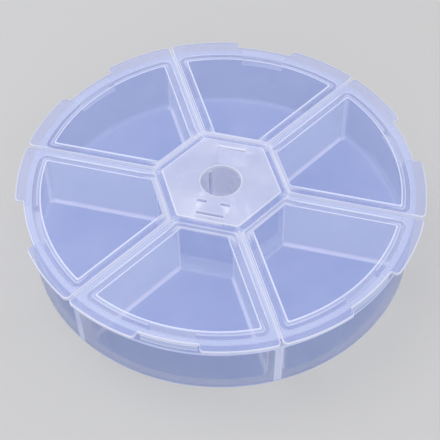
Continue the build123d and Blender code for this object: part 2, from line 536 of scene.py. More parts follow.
def rounded(steps):
    """Shares of a quarter round from its start to its end: sine of the turn, and one less cosine."""
    turn = np.linspace(0, math.pi / 2, steps + 1)
    return np.sin(turn), 1 - np.cos(turn)


def corner_line(count, before, after, corner):
    """Level of milkiness and painted light of a corner round along its points, from one wall to the other,
    brightest in its middle, where it carries a painted highlight.

    The middle's share is four times the sine of the turn, less three, and never below nothing.
    """
    turn = np.linspace(0, 1, count)
    plain = before + (after - before) * turn
    rise = np.clip(4 * np.sin(math.pi * turn) - 3, 0, 1)
    return plain + (corner - plain) * rise


def pocket_milk_and_light(outer_wall, divider, corner, core):
    """Level of milkiness and painted light of each point of a pocket row: outer wall, divider, core wall,
    and the corners between.
    """
    start = len(TRAY_ANGLES) + TRAY_PLAN["tail"]
    near = start + TRAY_PLAN["far"] + TRAY_PLAN["side"]
    near_count = TRAY_PLAN["near"] + 1
    half = np.full(near + near_count + len(TRAY_ANGLES), divider)
    half[:start] = outer_wall
    half[start : start + TRAY_PLAN["far"]] = corner_line(TRAY_PLAN["far"], outer_wall, divider, corner)
    half[near : near + near_count] = corner_line(near_count, divider, core, corner)
    half[near + near_count :] = core
    return mirrored_values(half)


def pocket_row(height, grow, milk_and_painted_light, reach=None):
    """Row of a compartment's wall at a height."""
    return at_height(pocket_loop(height, grow, reach), height), milk_and_painted_light


def pocket_foot(middle, walls):
    """Rows of a compartment's floor and of the round up to its wall, with a painted bright line on the
    dividers and the corners.

    The floor's rows lie at shares of the way from the middle to its edge. The line's share climbs
    from nothing at both ends of the round and is full between.
    """
    foot_line = pocket_milk_and_light(WALL, LINE, CORNER, FLANGE)
    floor_edge = pocket_loop(FLOOR_TOP, -FLOOR_ROUND)
    rows = [
        (at_height(middle + (floor_edge - middle) * share, FLOOR_TOP), FLOOR)
        for share in (0.3, 0.6, 0.85, 1.0)
    ]
    steepness = 2.2
    out, up = rounded(6)
    for reach, rise in zip(out[1:], up[1:]):
        height = FLOOR_TOP + FLOOR_ROUND * rise
        line = min(steepness * reach, steepness * (1 - rise), 1.0)
        base = walls * rise + FLOOR * (1 - rise)
        rows.append(pocket_row(height, -FLOOR_ROUND * (1 - reach), base + (foot_line - base) * line))
    return rows


def pocket_head(walls):
    """Rows of a compartment's wall up to its top round: straight, but for the latch groove's hollow."""
    rows = [pocket_row(FLOOR_TOP + FLOOR_ROUND + MARGIN, 0, walls)]
    for offset in (-GROOVE_HALF, 0.0, GROOVE_HALF):
        height = GROOVE_MIDDLE + offset
        wall_reach = POCKET_REACH - (TRAY_TOP - height) * DRAFT
        in_groove = (TRAY_ANGLES < PAD_HALF_ANGLE) & (offset == 0)
        reach = np.where(in_groove, GROOVE_REACH, wall_reach)
        rows.append(pocket_row(height, 0, walls, reach))
    rows.append(pocket_row(TRAY_TOP - TOP_BAND, 0, walls))
    # The top round carries a painted highlight.
    top_edge = pocket_milk_and_light(EDGE, EDGE, EDGE, FLANGE)
    out, up = rounded(4)
    for reach, rise in zip(up, out):
        rows.append(pocket_row(TRAY_TOP - TOP_ROUND + TOP_ROUND * rise, TOP_ROUND * reach, top_edge))
    rows.append(pocket_row(TRAY_TOP, TOP_ROUND + TOP_MARGIN, pocket_milk_and_light(EDGE, EDGE, EDGE, CORE_TOP)))
    return rows


def add_pocket(shell, turn):
    """One compartment with its share of the tray's top, closed at the middle of its floor."""
    middle = np.array([(CORE_HALF + POCKET_REACH) / 2, 0.0])
    # Painted highlights run down the corner rounds.
    walls = pocket_milk_and_light(WALL, DIVIDER, CORNER, CORE_SIDE)
    sector = sector_loop()
    by_core = np.hypot(sector[:, 0], sector[:, 1]) < CORE_HALF + CORE_WALL
    rows = pocket_foot(middle, walls) + pocket_head(walls)
    rows.append((at_height(sector, TRAY_TOP), np.where(by_core, CORE_TOP, EDGE)))
    numbers = shell.loft([(turned(points, turn), milk_and_painted_light) for points, milk_and_painted_light in rows])
    pole = turned(np.array([[middle[0], 0.0, FLOOR_TOP]]), turn)[0]
    shell.fan(numbers[0], pole, FLOOR)


def ring_row(radius_of, height, milk_and_painted_light):
    """Row all round the tray: in each sector the same angles, with a radius for each of them."""
    radius = np.broadcast_to(radius_of(np.abs(RING_ANGLES)), RING_ANGLES.shape)
    sector = at_height(polar(radius, RING_ANGLES), height)
    return np.vstack([turned(sector, n * SECTOR) for n in range(LIDS)]), milk_and_painted_light


def circle_row(radius, height, milk_and_painted_light):
    """Row at one radius all round the tray."""
    return ring_row(lambda angles: np.full(angles.shape, radius), height, milk_and_painted_light)


def wall_row(height):
    """Row of the outer wall at a height, in deep shade but for the ends of the dividers."""
    end_angle = HALF_SECTOR - math.degrees(DIVIDER_HALF / POCKET_REACH)
    levels = np.where(np.abs(RING_ANGLES) > end_angle, DIVIDER_END, DEEP)
    return circle_row(wall_radius(height), height, np.tile(levels, LIDS))


def pad_row(radius, height, milk_and_painted_light):
    """Row that stands out to a radius over the six latch pads and follows the clear rim band elsewhere."""
    levels = np.where(np.abs(RING_ANGLES) < PAD_HALF_ANGLE, milk_and_painted_light, PANEL)
    on_pad = lambda angles: np.where(angles < PAD_HALF_ANGLE, radius, RIM_RADIUS)
    return ring_row(on_pad, height, np.tile(levels, LIDS))


def hexagon_row(half, corner, height, milk_and_painted_light):
    """Row round the six-sided core."""
    return ring_row(lambda angles: six_sided(half, corner, angles), height, milk_and_painted_light)


def wall_radius(height):
    """Outer wall of the tray, straight from the foot to the ring step."""
    return FOOT_RADIUS + (WALL_RADIUS - FOOT_RADIUS) * height / RING_HEIGHT


def rim_rows():
    """Rim of the tray: its top round, and the latch pads below it."""
    rows = []
    # The top round and the pads' edges carry painted highlights.
    for reach, rise in zip(*rounded(4)):
        radius = RIM_RADIUS - RIM_ROUND * (1 - reach)
        rows.append(circle_row(radius, TRAY_TOP - RIM_ROUND * rise, EDGE))
    top, bottom = TRAY_TOP - RIM_ROUND, TRAY_TOP - PAD_HEIGHT
    pad = (
        (WALL_RADIUS - PAD_ROUND, top, EDGE),
        (WALL_RADIUS, top - PAD_ROUND, EDGE),
        (WALL_RADIUS, top - 3 * PAD_ROUND, FLANGE),
        (WALL_RADIUS, bottom + 3 * PAD_ROUND, FLANGE),
        (WALL_RADIUS, bottom + PAD_ROUND, EDGE),
        (WALL_RADIUS - PAD_ROUND, bottom, EDGE),
        (RIM_RADIUS, bottom, FLANGE),
    )
    return rows + [pad_row(*place) for place in pad]


def outside_rows():
    """Outside of the tray: ring step, drafted wall, foot round as a quarter circle, and underside."""
    head = RING_HEIGHT + RING_STEP
    under = RING_HEIGHT - RING_UNDER
    # The ring step's broken edge carries a painted highlight.
    ring = (
        (RIM_RADIUS, head + RING_MARGIN, PANEL),
        (RIM_RADIUS + RING_HOLLOW[0], head + RING_HOLLOW[1], WALL),
        (WALL_RADIUS - RING_BREAK[0], RING_HEIGHT + RING_BREAK[1], SIDE),
        (wall_radius(under), under, FLANGE),
    )
    rows = [circle_row(*place) for place in ring]
    rows += [wall_row(height) for height in (RING_HEIGHT - MARGIN, *WALL_HEIGHTS)]
    foot = wall_radius(FOOT_ROUND) - FOOT_ROUND
    # The middle of the foot round carries a painted highlight.
    foot_milk_and_light = (WALL, FLANGE, SIDE, FLANGE, WALL, FLOOR, FLOOR)
    out, up = rounded(len(foot_milk_and_light) - 1)
    for reach, rise, milk_and_painted_light in zip(1 - up, 1 - out, foot_milk_and_light):
        rows.append(circle_row(foot + FOOT_ROUND * reach, FOOT_ROUND * rise, milk_and_painted_light))
    rows.append(circle_row(foot - FOOT_MARGIN, 0.0, WALL))
    rows.append(circle_row(foot - UNDERSIDE_INSET, 0.0, FLOOR))
    return rows


def core_rows():
    """Core of the tray from below: its open foot, the raised floor with its boss, and the well above."""
    rows = []
    for more, milk_and_painted_light in ((CORE_SPREAD, FLOOR), (MARGIN, WALL)):
        rows.append(hexagon_row(CORE_HALF + more, CORE_CORNER + more, 0.0, milk_and_painted_light))
    # The core's foot round carries a painted highlight.
    for reach, rise in zip(*rounded(3)):
        more = CORE_FOOT_ROUND * (1 - reach)
        rows.append(hexagon_row(CORE_HALF + more, CORE_CORNER + more, CORE_FOOT_ROUND * rise, EDGE))
    open_foot = (
        (CORE_HALF, CORE_UNDER - FILLET, WALL),
        (CORE_HALF - HAIR, CORE_UNDER - HAIR, WALL),
        (CORE_HALF - FILLET, CORE_UNDER, WALL),
    )
    # The boss's edges carry painted highlights.
    boss = (
        (BOSS_INNER + BOSS_SPREAD, CORE_UNDER, WALL),
        (BOSS_INNER + FILLET, CORE_UNDER, WALL),
        (BOSS_INNER + FINE, CORE_UNDER, EDGE),
        (BOSS_INNER, CORE_UNDER + FINE, EDGE),
        (BOSS_INNER, CORE_UNDER + FINE + FILLET, WALL),
        (BOSS_INNER, BOSS_TOP - MARGIN, WALL),
        (BOSS_INNER, BOSS_TOP - BOSS_ROUND, EDGE),
        (BOSS_INNER + BOSS_ROUND, BOSS_TOP, EDGE),
        (BOSS_OUTER - BOSS_ROUND, BOSS_TOP, EDGE),
        (BOSS_OUTER, BOSS_TOP - BOSS_ROUND, EDGE),
        (BOSS_OUTER, BOSS_TOP - MARGIN, WALL),
        (BOSS_OUTER, CORE_FLOOR_TOP + FILLET, WALL),
        (BOSS_OUTER + FILLET, CORE_FLOOR_TOP, FLANGE),
    )
    # The well lies in painted deep shade.
    well = (
        (CORE_HALF - WELL_MARGIN, CORE_FLOOR_TOP, DEEP),
        (CORE_HALF - FILLET, CORE_FLOOR_TOP, DEEP),
        (CORE_HALF, CORE_FLOOR_TOP + FILLET, DEEP),
        (CORE_HALF, TRAY_TOP - MARGIN, DEEP),
        (CORE_HALF, TRAY_TOP, CORE_TOP),
    )
    rows += [hexagon_row(half, CORE_CORNER, height, milk_and_painted_light) for half, height, milk_and_painted_light in open_foot]
    rows += [circle_row(*place) for place in boss]
    rows += [hexagon_row(half, CORE_CORNER, height, milk_and_painted_light) for half, height, milk_and_painted_light in well]
    return rows


def tray_shell(material):
    """The tray: six compartments, and one band of rows down the outside, under the box and up the core."""
    shell = Shell()
    for number in range(LIDS):
        add_pocket(shell, number * SECTOR)
    shell.loft(rim_rows() + outside_rows() + core_rows())
    return shell.make("tray_shell", material)


def notch_stretch():
    """Angles and radii of the wall between the notch and a finger tab.

    A hollow corner round at its foot and a full one at its tip, each an arc about a point one
    radius away from the wall, which stands square to the rim.
    """
    foot_angle = math.degrees(NOTCH_CORNER / (LID_RADIUS + NOTCH_CORNER))
    foot_middle = polar(LID_RADIUS + NOTCH_CORNER, np.array([NOTCH_HALF_ANGLE - foot_angle]))
    foot_turn = np.linspace(NOTCH_HALF_ANGLE - 180, NOTCH_HALF_ANGLE - 270, 5) + 360
    foot = foot_middle + polar(NOTCH_CORNER, foot_turn)
    tip_angle = math.degrees(TAB_CORNER / (TAB_RADIUS - TAB_CORNER))
    tip_middle = polar(TAB_RADIUS - TAB_CORNER, np.array([NOTCH_HALF_ANGLE + tip_angle]))
    tip_turn = np.linspace(NOTCH_HALF_ANGLE - 90, NOTCH_HALF_ANGLE + tip_angle, 8)
    tip = tip_middle + polar(TAB_CORNER, tip_turn)
    wall = np.vstack([foot, tip])
    return np.degrees(np.arctan2(wall[:, 1], wall[:, 0])), np.hypot(wall[:, 0], wall[:, 1])


NOTCH_ANGLES, NOTCH_REACH = notch_stretch()
INNER_LID_ANGLES = np.array(
    sorted([0, 1, 2, 3, 4, 5, 6.5] + paired(BEAD_HALF_ANGLE, TONGUE_HALF_ANGLE))
)
OUTER_LID_ANGLES = np.arange(11.0, 25.0)
NOTCH_SPREAD = np.linspace(NOTCH_ANGLES[0], NOTCH_ANGLES[-1], len(NOTCH_ANGLES))
ROW_ANGLES = np.concatenate([INNER_LID_ANGLES, NOTCH_SPREAD, OUTER_LID_ANGLES])
LID_PLAN = {
    "angles": ROW_ANGLES,
    "tail": 4,
    "far": 9,
    "side": 8,
    "near": 4,
    "edge": np.linspace(1, 0, 5)[1:],
}
OUTLINE_ANGLES = np.concatenate([INNER_LID_ANGLES, NOTCH_ANGLES, OUTER_LID_ANGLES])
OUTLINE_PLAN = dict(LID_PLAN, angles=OUTLINE_ANGLES)


def lid_outline(draw, inner):
    """Outline of a lid drawn in evenly: notch at one radius, tabs at another, and the wall between."""
    reach = np.concatenate(
        [
            np.full(len(INNER_LID_ANGLES), LID_RADIUS),
            NOTCH_REACH,
            np.full(len(OUTER_LID_ANGLES), TAB_RADIUS),
        ]
    )
    return wedge_loop(
        inner + draw,
        LID_SIDE + draw,
        TAB_RADIUS - draw,
        NEAR_LID_CORNER,
        TAB_CORNER - draw,
        OUTLINE_PLAN,
        reach - draw,
    )


def recess_loop(draw):
    """Edge of the thin panel, drawn in evenly."""
    return wedge_loop(
        RECESS_NEAR + draw,
        RECESS_SIDE + draw,
        RECESS_REACH - draw,
        RECESS_CORNER,
        RECESS_CORNER,
        LID_PLAN,
    )


def rib_loop(draw, reach=None):
    """Loop of the seal rib, drawn in evenly from its outer face."""
    return wedge_loop(
        RIB_NEAR + draw,
        RIB_SIDE + draw,
        RIB_REACH - draw,
        max(NEAR_CORNER - draw, RIB_CORNER_LEAST),
        max(FAR_CORNER - draw, RIB_CORNER_LEAST),
        LID_PLAN,
        reach,
    )


def tongue_row(rib_draw, rib_height, reach, height, half_angle=TONGUE_HALF_ANGLE):
    """Row that follows the latch tongue at a radius and height, and the seal rib at its own elsewhere.

    A smaller half angle leaves the tongue's outer face where the bead doesn't reach.
    """
    on_tongue = ROW_ANGLES < TONGUE_HALF_ANGLE
    beside_bead = on_tongue & (ROW_ANGLES > half_angle)
    radius = np.where(on_tongue, reach, RIB_REACH - rib_draw)
    radius = np.where(beside_bead, TONGUE_REACH, radius)
    flat = rib_loop(rib_draw, radius)
    upper = np.full((len(flat) + 2) // 2, rib_height)
    upper[: len(ROW_ANGLES)] = np.where(on_tongue, height, rib_height)
    return at_height(flat, mirrored_values(upper))


def lid_milk_and_light(tongue, rim, side, hinge):
    """Level of milkiness and painted light of each point of a lid's row: at the tongue, along the rim, the
    sides and the hinge.
    """
    half = np.full((len(rib_loop(0.0)) + 2) // 2, hinge)
    rim_count = len(ROW_ANGLES) + LID_PLAN["tail"] + LID_PLAN["far"]
    half[:rim_count] = rim
    half[: len(ROW_ANGLES)] = np.where(ROW_ANGLES < TONGUE_HALF_ANGLE, tongue, rim)
    half[rim_count : rim_count + LID_PLAN["side"]] = side
    return mirrored_values(half)


# Levels of a lid's inside: from the underside border to the faces and tips of rib and tongue, with a
# painted highlight at the hinge end
UNDER_MILK_AND_LIGHT = lid_milk_and_light(PATCH, FLANGE, BORDER, EDGE)
RIB_MILK = lid_milk_and_light(TONGUE, SIDE, SIDE, SIDE)
INNER_MILK_AND_LIGHT = lid_milk_and_light(TONGUE, FLANGE, BORDER, EDGE)


def lid_edge_rows():
    """Rows of a lid from its flat top over the edge's quarter round and the hinge flank to the rib."""
    top_inner = LID_INNER + FLANK_RUN
    rows = [(at_height(lid_outline(LID_ROUND + FINE, top_inner), LID_TOP), PANEL)]
    # The edge's round carries a painted highlight.
    edge = lid_milk_and_light(EDGE, EDGE, SIDE, SIDE)
    for reach, rise in zip(*rounded(4)):
        outline = lid_outline(LID_ROUND * (1 - reach), top_inner - LID_ROUND * rise)
        rows.append((at_height(outline, LID_TOP - LID_ROUND * rise), edge))
    below = (
        (0, FLANK_FOOT, HUB),
        (0, LID_UNDER + UNDER_ROUND, HUB),
        (UNDER_ROUND, LID_UNDER, HUB),
        (UNDER_MARGIN, LID_UNDER, UNDER_MILK_AND_LIGHT),
    )
    for draw, height, milk_and_painted_light in below:
        rows.append((at_height(lid_outline(draw, LID_INNER - draw), height), milk_and_painted_light))
    # The rib's root carries a painted highlight along the rim and a painted glowing line along the sides.
    root = lid_milk_and_light(TONGUE, EDGE, LINE, SIDE)
    rows.append((at_height(rib_loop(-2 * RIB_ROOT), LID_UNDER), UNDER_MILK_AND_LIGHT))
    rows.append((at_height(rib_loop(-RIB_ROOT), LID_UNDER), root))
    rows.append((at_height(rib_loop(0), LID_UNDER - RIB_ROOT), root))
    return rows


def rib_rows():
    """Rows of the seal rib and the latch tongue: down outside over the bead, round the tips, up inside.

    The bead's flat lies four fifths of the way from the tongue's face to the bead's reach.
    """
    low = RIB_BOTTOM + RIB_ROUND
    bead_reach = (BEAD_REACH * 4 + TONGUE_REACH) / 5
    outside = (
        (RIB_HEAD, TONGUE_REACH, RIB_HEAD, TONGUE_HALF_ANGLE),
        (low + RIB_ROUND, TONGUE_REACH, BEAD_MIDDLE + BEAD_HALF, TONGUE_HALF_ANGLE),
        (low, bead_reach, BEAD_MIDDLE + BEAD_HALF / 4, BEAD_HALF_ANGLE),
        (low, bead_reach, BEAD_MIDDLE - BEAD_HALF / 4, BEAD_HALF_ANGLE),
        (low, TONGUE_REACH, BEAD_MIDDLE - BEAD_HALF, TONGUE_HALF_ANGLE),
    )
    rows = [(tongue_row(0, *place), RIB_MILK) for place in outside]
    out, up = rounded(3)
    tongue_low = TONGUE_BOTTOM + TIP_ROUND
    for reach, rise in zip(up, out):
        tip = TONGUE_REACH - TIP_ROUND * reach
        height = tongue_low - TIP_ROUND * rise
        rows.append((tongue_row(RIB_ROUND * reach, low - RIB_ROUND * rise, tip, height), INNER_MILK_AND_LIGHT))
    face = TONGUE_REACH - TONGUE_WALL
    for reach, rise in zip(1 - up[::-1], 1 - out[::-1]):
        draw = RIB_WALL - RIB_ROUND * (1 - reach)
        tip = face + TIP_ROUND * (1 - reach)
        height = TONGUE_BOTTOM + TIP_ROUND * rise
        rows.append((tongue_row(draw, RIB_BOTTOM + RIB_ROUND * rise, tip, height), INNER_MILK_AND_LIGHT))
    # The inner root carries a painted highlight along the rim and the hinge.
    root = lid_milk_and_light(TONGUE, EDGE, BORDER, EDGE)
    inside_places = (
        (RIB_WALL, RIB_MIDDLE, face, TONGUE_BOTTOM + TONGUE_TIP_MARGIN, INNER_MILK_AND_LIGHT),
        (RIB_WALL, RIB_INNER_HEAD, face, RIB_INNER_HEAD, INNER_MILK_AND_LIGHT),
        (RIB_WALL + RIB_ROUND, LID_UNDER, face - RIB_INNER_ROOT, LID_UNDER, root),
    )
    return rows + [(tongue_row(*place), milk_and_painted_light) for *place, milk_and_painted_light in inside_places]


def panel_rows():
    """Rows of the thin panel's edge: from the underside up the recess, with a painted bright line round
    it.
    """
    line = lid_milk_and_light(LINE, LINE, LINE, EDGE)
    places = (
        (-HAIR, LID_UNDER, INNER_MILK_AND_LIGHT),
        (0.0, LID_UNDER + HAIR, line),
        (RECESS_LEAN, RECESS_TOP - HAIR, line),
        (RECESS_FILLET, RECESS_TOP, line),
        (LINE_WIDTH, RECESS_TOP, line),
        (PANEL_START, RECESS_TOP, PANEL),
    )
    return [(at_height(recess_loop(draw), height), milk_and_painted_light) for draw, height, milk_and_painted_light in places]


def lid_plate(number, material):
    """One lid, closed all round: flat top, finger tabs, seal rib, tongue with its bead, and thin panel."""
    shell = Shell()
    rows = lid_edge_rows() + rib_rows() + panel_rows()
    rows = [(turned(points, number * SECTOR), milk_and_painted_light) for points, milk_and_painted_light in rows]
    shell.loft(rows)
    for points, _ in (rows[0], rows[-1]):
        shell.sheet([points[:, :2]], points[0, 2], PANEL)
    return shell.make(f"lid_plate_{number + 1}", material)


def hub_angles():
    """Angles round the hub: even steps, with more of them near the six corners."""
    half = np.concatenate([np.arange(0, 26, 2.5), [26.5, 27.5, 28, 28.5, 29, 29.5, 30]])
    return np.concatenate([-half[:0:-1], half[:-1]])


def hub_edge(half, grow=0.0):
    """Six-sided loop round the hub plate, grown evenly."""
    angles = hub_angles()
    side = polar(six_sided(half + grow, HUB_CORNER + grow, angles), angles)
    return np.vstack([turned(side, n * SECTOR) for n in range(LIDS)])


def tube_angles(radius):
    """Angles round the snap tube, with two close together at each side of each slot.

    A slot has parallel sides, so its half angle is the arcsine of its half width over the radius.
    """
    half_slot = np.degrees(np.arcsin(SLOT_HALF / radius))
    finger = np.linspace(half_slot + STEP, 360 / SLOTS - half_slot - STEP, FINGER_POINTS)
    across = np.linspace(-half_slot + STEP, half_slot - STEP, SLOT_POINTS)
    quarter = np.concatenate([across, finger])
    return np.concatenate([quarter + n * 360 / SLOTS for n in range(SLOTS)]) + SLOT_TURN


def in_slot():
    """Which of the angles round the tube lie in a slot."""
    quarter = np.array([True] * SLOT_POINTS + [False] * FINGER_POINTS)
    return np.tile(quarter, SLOTS)


def tube_row(radius, height, milk_and_painted_light, collar_radius=None):
    """Row round the snap tube that stays at the top of the slots wherever there is a slot."""
    collar = radius if collar_radius is None else collar_radius
    heights = np.where(in_slot(), max(height, SLOT_TOP), height)
    radii = np.where(in_slot(), collar, radius)
    return at_height(polar(radii, tube_angles(collar)), heights), milk_and_painted_light


def box_outline(low_x, high_x, half_y, corner=OPENING_CORNER, middle_y=0.0):
    """Closed outline of a rectangle with a quarter circle at each corner.

    It starts at the lower end of the upper right round and runs counterclockwise.
    """
    quarter = np.linspace(0, 90, QUARTER_POINTS)
    x, y, low = high_x - corner, half_y - corner, low_x + corner
    middles = ((x, y), (low, y), (low, -y), (x, -y))
    corners = [np.array(middle) + polar(corner, quarter + 90 * n) for n, middle in enumerate(middles)]
    return np.vstack(corners) + np.array([0.0, middle_y])


def hub_opening(turn, grow, low, high, half, middle_y=0.0):
    """Outline of an opening in the hub plate, grown evenly, turned round the middle of the box."""
    outline = box_outline(low - grow, high + grow, half + grow, OPENING_CORNER + grow, middle_y)
    return turned(at_height(outline, 0.0), turn)[:, :2]


def add_opening(shell, size):
    """Walls of one opening in the hub plate: a flat margin, a small top round with a painted highlight,
    and down to the underside.

    The wall at its outer side, between the outline's first and last points, glows: a painted glint.
    """
    walls = np.full(len(box_outline(0.0, 1.0, 1.0)), RIM)
    walls[[0, -1]] = GLOW
    stages = (
        (OPENING_MARGIN, LID_TOP, HUB),
        (OPENING_ROUND, LID_TOP, EDGE),
        (0.0, LID_TOP - OPENING_ROUND, walls),
        (0.0, LID_UNDER, walls),
    )
    shell.loft([(at_height(hub_opening(grow=grow, **size), z), milk_and_painted_light) for grow, z, milk_and_painted_light in stages])


def locating_plate(turn):
    """Outline of a hanging plate, which shares two points with its window, and of the two as one."""
    window = box_outline(WINDOW_INNER, PLATE_INNER, WINDOW_HALF_LENGTH)
    outer = box_outline(PLATE_INNER, PLATE_OUTER, PLATE_HALF_WIDTH, PLATE_CORNER)
    low = np.array([[PLATE_INNER, -PLATE_HALF_WIDTH]])
    high = np.array([[PLATE_INNER, PLATE_HALF_WIDTH]])
    beyond = np.vstack([low, outer[-QUARTER_POINTS:], outer[:QUARTER_POINTS], high])
    plate = np.vstack([window[-1:], beyond, window[:1]])
    together = np.vstack([window, beyond])
    return [turned(at_height(outline, 0.0), turn)[:, :2] for outline in (plate, together)]


def opening_sizes():
    """Sizes of the hub plate's two windows, one at each locating plate, and of its two small slots."""
    windows = [
        {"turn": turn, "low": WINDOW_INNER, "high": PLATE_INNER, "half": WINDOW_HALF_LENGTH}
        for turn in PLATE_TURNS
    ]
    small_slot = {
        "turn": SMALL_SLOT_TURN,
        "low": SMALL_SLOT_DISTANCE - SMALL_SLOT_HALF_WIDTH,
        "high": SMALL_SLOT_DISTANCE + SMALL_SLOT_HALF_WIDTH,
        "half": SMALL_SLOT_HALF_LENGTH,
    }
    return windows, [dict(small_slot, middle_y=side * SMALL_SLOT_SIDE) for side in (-1, 1)]


def add_locating_plate(shell, turn):
    """One hanging plate with a narrowed tip. Gives the outline that it and its window have below."""
    plate, together = locating_plate(turn)
    middle = polar((PLATE_INNER + PLATE_OUTER) / 2, np.array([turn]))
    tip = middle + (plate - middle) * PLATE_TIP_SHARE
    # The plate's root and tip carry painted highlights.
    stages = ((plate, LID_UNDER, EDGE), (plate, PLATE_BOTTOM + PLATE_TIP, RIM), (tip, PLATE_BOTTOM, EDGE))
    shell.loft([(at_height(outline, height), milk_and_painted_light) for outline, height, milk_and_painted_light in stages])
    shell.sheet([tip], PLATE_BOTTOM, EDGE)
    return together


def add_hub_edge(shell):
    """Edge of the hub plate: margin, flattened quarter round, and the slope down to the hinges."""
    rows = [(at_height(hub_edge(HUB_TOP_HALF - HUB_MARGIN), LID_TOP), HUB)]
    # The round carries a painted highlight.
    for reach, rise in zip(*rounded(3)):
        outline = hub_edge(HUB_TOP_HALF, -HUB_ROUND * (1 - reach))
        rows.append((at_height(outline, LID_TOP - HUB_ROUND * rise * HUB_ROUND_SQUASH), EDGE))
    # The slope down to the hinges is darker: painted shade of the groove round the hub.
    slope = (
        (HUB_HALF - HUB_SLOPE, LID_TOP - HUB_SLOPE),
        (HUB_HALF - FINE, FLANK_FOOT + UNDER_ROUND),
        (HUB_HALF, FLANK_FOOT),
        (HUB_HALF, LID_UNDER),
    )
    rows += [(at_height(hub_edge(half), height), STRIP) for half, height in slope]
    shell.loft(rows)


def add_tube(shell, rim_guard, root):
    """Centre hole with its top round, and the split snap tube down to its barbs and up its outside."""
    rows = [(at_height(rim_guard, LID_TOP), HUB)]
    # The hole's top round, the tube's foot round and the barbs carry painted highlights.
    for rise, reach in zip(*rounded(4)):
        radius = HOLE_RADIUS + HOLE_ROUND * (1 - rise)
        rows.append((at_height(polar(radius, tube_angles(radius)), LID_TOP - HOLE_ROUND * reach), EDGE))
    tube = (
        (HOLE_RADIUS, SLOT_TOP + SLOT_MARGIN, TUBE),
        (HOLE_RADIUS, SLOT_TOP, TUBE),
        (HOLE_RADIUS, TUBE_FOOT + TUBE_BAND, TUBE),
        (HOLE_RADIUS, TUBE_FOOT + TUBE_FOOT_ROUND, EDGE),
        (HOLE_RADIUS + TUBE_FOOT_ROUND, TUBE_FOOT, EDGE, HOLE_RADIUS),
        (TUBE_OUTER - HAIR, TUBE_FOOT, EDGE, TUBE_OUTER),
        (BARB_OUTER, BARB_FOOT, EDGE, TUBE_OUTER),
        (BARB_OUTER, BARB_TOP, EDGE, TUBE_OUTER),
        (TUBE_OUTER, BARB_TOP, FLANGE),
        (TUBE_OUTER, SLOT_TOP, WALL),
    )
    rows += [tube_row(*place) for place in tube]
    rows.append((at_height(root, LID_UNDER), WALL))
    shell.loft(rows)


def hub_cap(material):
    """Hub plate with its sloped edge, centre hole, windows, locating plates, and split tube with barbs."""
    shell = Shell()
    windows, small_slots = opening_sizes()
    for size in windows + small_slots:
        add_opening(shell, size)
    below = [hub_opening(grow=0.0, **size) for size in small_slots]
    below += [add_locating_plate(shell, turn) for turn in PLATE_TURNS]
    add_hub_edge(shell)
    guard_radius = HOLE_RADIUS + 2 * HOLE_ROUND
    rim_guard = polar(guard_radius, tube_angles(guard_radius))
    tube_root = polar(TUBE_OUTER, tube_angles(TUBE_OUTER))
    above = [hub_opening(grow=OPENING_MARGIN, **size) for size in windows + small_slots]
    shell.sheet([hub_edge(HUB_TOP_HALF - HUB_MARGIN), rim_guard] + above, LID_TOP, HUB)
    shell.sheet([hub_edge(HUB_HALF), tube_root] + below, LID_UNDER, WALL)
    add_tube(shell, rim_guard, tube_root)
    return shell.make("hub_cap", material)


def hinge_strip(number, material):
    """Thin living hinge: a strip between hub and lid whose top dips in the middle like a cosine wave."""
    shell = Shell()
    across = np.linspace(-WEB_HALF, WEB_HALF, 13)
    along = np.linspace(-1, 1, 9)
    radius = HINGE_RADIUS + across
    half_length = radius * math.tan(SLOPE) - LID_SIDE / math.cos(SLOPE)
    top = FLANK_FOOT - WEB_DIP * (1 + np.cos(np.pi * across / WEB_HALF)) / 2
    flat = np.column_stack([np.repeat(radius, len(along)), (half_length[:, None] * along).ravel()])
    grids = []
    for height in (np.repeat(top, len(along)), LID_UNDER):
        numbers = shell.add(turned(at_height(flat, height), number * SECTOR), STRIP)
        grids.append(numbers.reshape(len(across), len(along)))
    upper, lower = grids
    for grid in grids:
        for first, second in zip(grid, grid[1:]):
            shell.band(first, second, closed=False)
    for above, below in ((upper, lower), (upper.T, lower.T)):
        shell.band(above[0], below[0], closed=False)
        shell.band(above[-1], below[-1], closed=False)
    return shell.make(f"hinge_strip_{number + 1}", material)


def add_socket(group, direction, kind, name, value=None):
    """Adds a named input or output to a shader node group, with its starting value."""
    socket = group.interface.new_socket(name, in_out=direction, socket_type=kind)
    if value is not None:
        socket.default_value = value


def group_nodes(name):
    """An empty shader node group with its two ends."""
    group = bpy.data.node_groups.new(name, "ShaderNodeTree")
    start = group.nodes.new("NodeGroupInput")
    end = group.nodes.new("NodeGroupOutput")
    return group, start, end


def feed(tree, socket, value):
    """Gives a socket a plain value, or joins another node's output to it."""
    if isinstance(value, bpy.types.NodeSocket):
        tree.links.new(value, socket)
    else:
        socket.default_value = value


def math_node(tree, operation, first, second):
    """Result of one Math node, whose inputs are numbers or other nodes' outputs."""
    node = tree.nodes.new("ShaderNodeMath")
    node.operation = operation
    feed(tree, node.inputs[0], first)
    feed(tree, node.inputs[1], second)
    return node.outputs[0]


def ramp_node(tree, value, low, high):
    """How far a value lies from the low level to the high one, held between 0 and 1."""
    node = tree.nodes.new("ShaderNodeMapRange")
    feed(tree, node.inputs["Value"], value)
    node.inputs["From Min"].default_value = low
    node.inputs["From Max"].default_value = high
    return node.outputs["Result"]


# Numbers of the two inputs and the output of a Mix node, for each kind of value
MIX_SOCKETS = {"FLOAT": (2, 3, 0), "RGBA": (6, 7, 2)}


def mix_node(tree, kind, share, first, second):
    """The first value at share 0, the second at share 1, and a mix of the two between."""
    node = tree.nodes.new("ShaderNodeMix")
    node.data_type = kind
    first_input, second_input, result = MIX_SOCKETS[kind]
    feed(tree, node.inputs["Factor"], share)
    feed(tree, node.inputs[first_input], first)
    feed(tree, node.inputs[second_input], second)
    return node.outputs[result]


